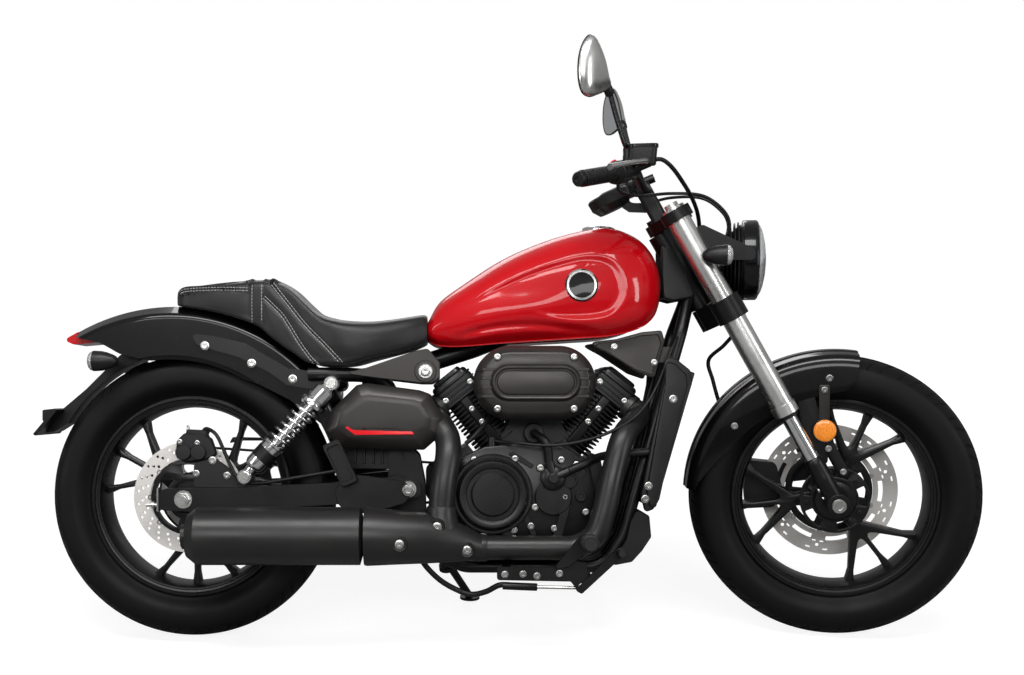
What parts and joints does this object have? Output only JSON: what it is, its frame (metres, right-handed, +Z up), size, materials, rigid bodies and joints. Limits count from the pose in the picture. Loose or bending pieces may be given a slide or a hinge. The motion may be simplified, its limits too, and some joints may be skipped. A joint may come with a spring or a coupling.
{
  "type": "cruiser motorcycle",
  "caption": "Low cruiser motorcycle with a V-twin engine, teardrop tank and raked fork, leaning on its side stand; both wheels turn, the fork steers and the stand folds.",
  "frame": {"origin": "where the rear tyre touches the floor", "axes": "+X forward along the motorcycle, +Y to the rider's left, towards the side stand, +Z up from the floor; the motorcycle leans 9 degrees towards +Y"},
  "size_m": [2.0653, 0.8694, 1.2709],
  "materials": {
    "black_frame_paint": "satin",
    "black_engine_paint": "matte",
    "steel": "brushed",
    "chrome": "polished",
    "fork_aluminium": "polished",
    "fork_black": "satin",
    "black_exhaust_paint": "satin",
    "red_paint": "gloss",
    "seat_cover": "satin",
    "black_gloss_paint": "gloss",
    "black_plastic": "satin",
    "red_lens": "gloss",
    "rubber": "matte",
    "tyre": "matte"
  },
  "bodies": {
    "chassis": {"frame": "black_frame_paint", "swingarm": "black_frame_paint", "suspension_bolts": "steel", "rear_axle": "steel", "crankcase": "black_engine_paint", "clutch_cover": "black_engine_paint", "left_engine_covers": "black_engine_paint", "cylinders": "black_engine_paint", "head_covers": "black_engine_paint", "throttle_body": "black_plastic", "air_box": "black_gloss_paint", "exhaust_headers": "black_exhaust_paint", "exhaust_collector": "black_exhaust_paint", "muffler": "black_exhaust_paint", "fuel_tank": "red_paint", "seat": "seat_cover", "side_panels": "black_gloss_paint", "radiator": "black_engine_paint", "radiator_shrouds": "black_plastic", "rear_fender": "black_gloss_paint", "fender_struts": "black_frame_paint", "tail_light": "red_lens", "rear_turn_signals": "black_plastic", "plate_bracket": "black_frame_paint", "shock_absorbers": "chrome", "shock_springs": "chrome", "rear_brake_caliper": "black_engine_paint", "drive_belt": "rubber", "belt_guard": "black_plastic", "foot_controls": "black_frame_paint", "pillion_pegs": "black_frame_paint"},
    "steering": {"triple_clamps": "black_frame_paint", "fork_tubes": "fork_aluminium", "fork_sliders": "fork_black", "front_axle": "steel", "handlebar": "black_frame_paint", "grips": "rubber", "switch_housings": "black_plastic", "hand_levers": "black_plastic", "mirrors": "black_plastic", "instrument": "black_plastic", "headlight": "black_plastic", "headlight_bracket": "black_frame_paint", "front_turn_signals": "black_plastic", "front_fender": "black_gloss_paint", "front_brake_caliper": "black_engine_paint"},
    "front_wheel": {"front_rim": "black_gloss_paint", "front_tyre": "tyre", "front_disc": "steel"},
    "rear_wheel": {"rear_rim": "black_gloss_paint", "rear_tyre": "tyre", "rear_disc": "steel", "rear_pulley": "steel"},
    "side_stand": {"side_stand": "black_frame_paint"}
  },
  "joints": [
    {"name": "steering", "type": "hinge", "parent": "chassis", "child": "steering", "pos_m": [1.08318, 0.10265, 0.80445], "axis": [-0.4887, 0.1366, 0.8617], "range_deg": [-25, 51]},
    {"name": "front_wheel", "type": "hinge", "parent": "steering", "child": "front_wheel", "pos_m": [1.41888, 0.01333, 0.3127], "axis": [0.1964, 0.9795, -0.0438], "continuous": true},
    {"name": "rear_wheel", "type": "hinge", "parent": "chassis", "child": "rear_wheel", "pos_m": [0, 0.02454, 0.31022], "axis": [0.0001, 0.9877, -0.1564], "continuous": true},
    {"name": "side_stand", "type": "hinge", "parent": "chassis", "child": "side_stand", "pos_m": [0.56017, 0.09781, 0.13411], "axis": [-0.1089, 0.73, 0.6748], "range_deg": [0, 91]}
  ]
}
